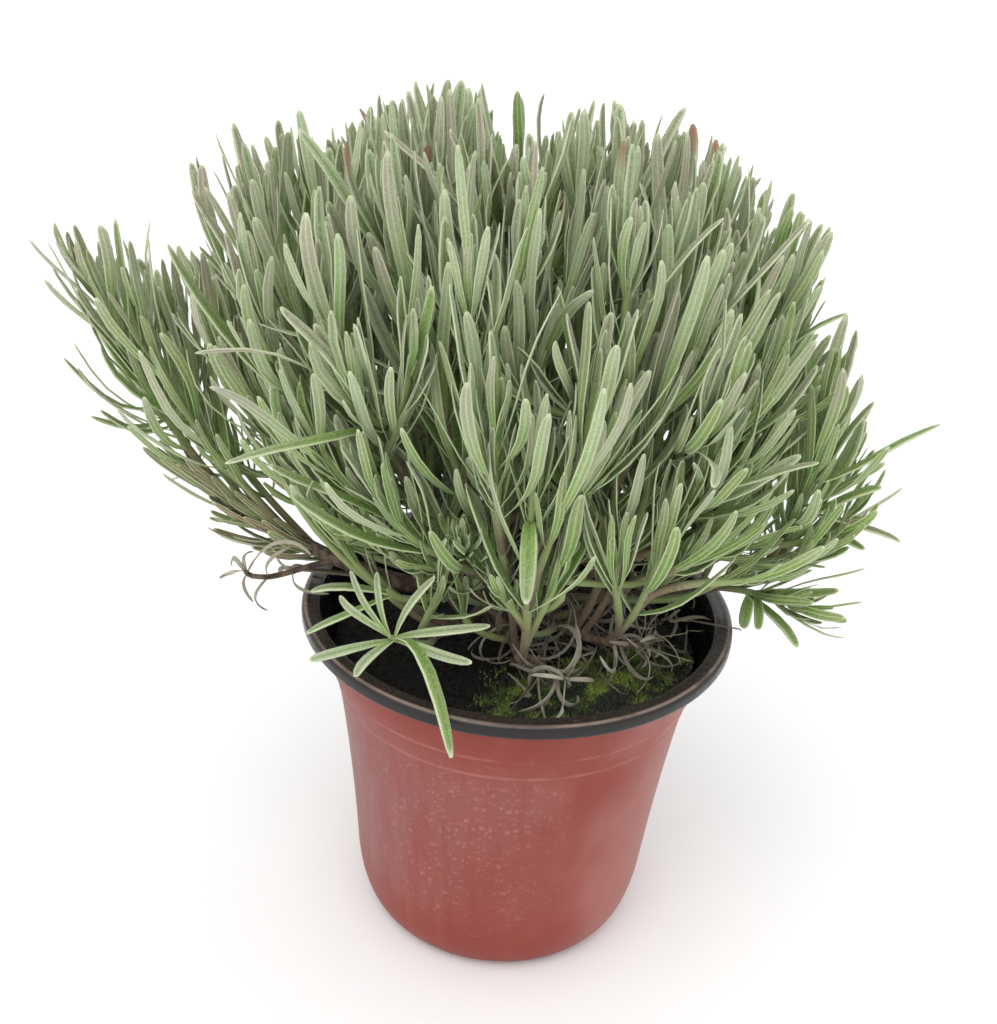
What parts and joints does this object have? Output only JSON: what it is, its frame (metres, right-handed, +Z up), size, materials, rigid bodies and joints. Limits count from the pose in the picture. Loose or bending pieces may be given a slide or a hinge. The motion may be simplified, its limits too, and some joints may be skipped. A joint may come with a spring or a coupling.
{
  "type": "potted lavender",
  "caption": "Bushy lavender with narrow grey-green leaves on branching shoots, not in flower, growing in a thin round nursery pot with a flared rim.",
  "frame": {"origin": "centre of the pot's flat underside, where it rests", "axes": "+Z up through the pot's middle, -Y towards the front, +X to the right as seen from the front"},
  "size_m": [0.287, 0.1671, 0.2959],
  "materials": {
    "pot": "thin formed plastic, red-brown outside with water stains, near black rim and inside",
    "soil": "dark peat compost with a patch of green moss",
    "wood": "rough grey-brown bark",
    "leaf": "grey-green, velvety with fine hairs",
    "dry_leaf": "dry, matt, grey to brown"
  },
  "bodies": {
    "root": {"dry_twig_01": "dry_leaf", "dry_twig_02": "dry_leaf", "dry_twig_03": "dry_leaf", "pot": "pot", "shoot_01": "leaf", "shoot_02": "leaf", "shoot_03": "leaf", "shoot_04": "leaf", "shoot_05": "leaf", "shoot_06": "leaf", "shoot_07": "leaf", "shoot_08": "leaf", "shoot_09": "leaf", "shoot_10": "leaf", "shoot_11": "leaf", "shoot_12": "leaf", "shoot_13": "leaf", "shoot_14": "leaf", "shoot_15": "leaf", "shoot_16": "leaf", "shoot_17": "leaf", "shoot_18": "leaf", "shoot_19": "leaf", "shoot_20": "leaf", "shoot_21": "leaf", "shoot_22": "leaf", "shoot_23": "leaf", "shoot_24": "leaf", "shoot_25": "leaf", "shoot_26": "leaf", "shoot_27": "leaf", "shoot_28": "leaf", "shoot_29": "leaf", "shoot_30": "leaf", "shoot_31": "leaf", "shoot_32": "leaf", "shoot_33": "leaf", "shoot_34": "leaf", "shoot_35": "leaf", "shoot_36": "leaf", "shoot_37": "leaf", "shoot_38": "leaf", "shoot_39": "leaf", "shoot_40": "leaf", "shoot_41": "leaf", "shoot_42": "leaf", "shoot_43": "leaf", "shoot_44": "leaf", "shoot_45": "leaf", "shoot_46": "leaf", "soil": "soil", "woody_crown": "wood"}
  },
  "joints": []
}
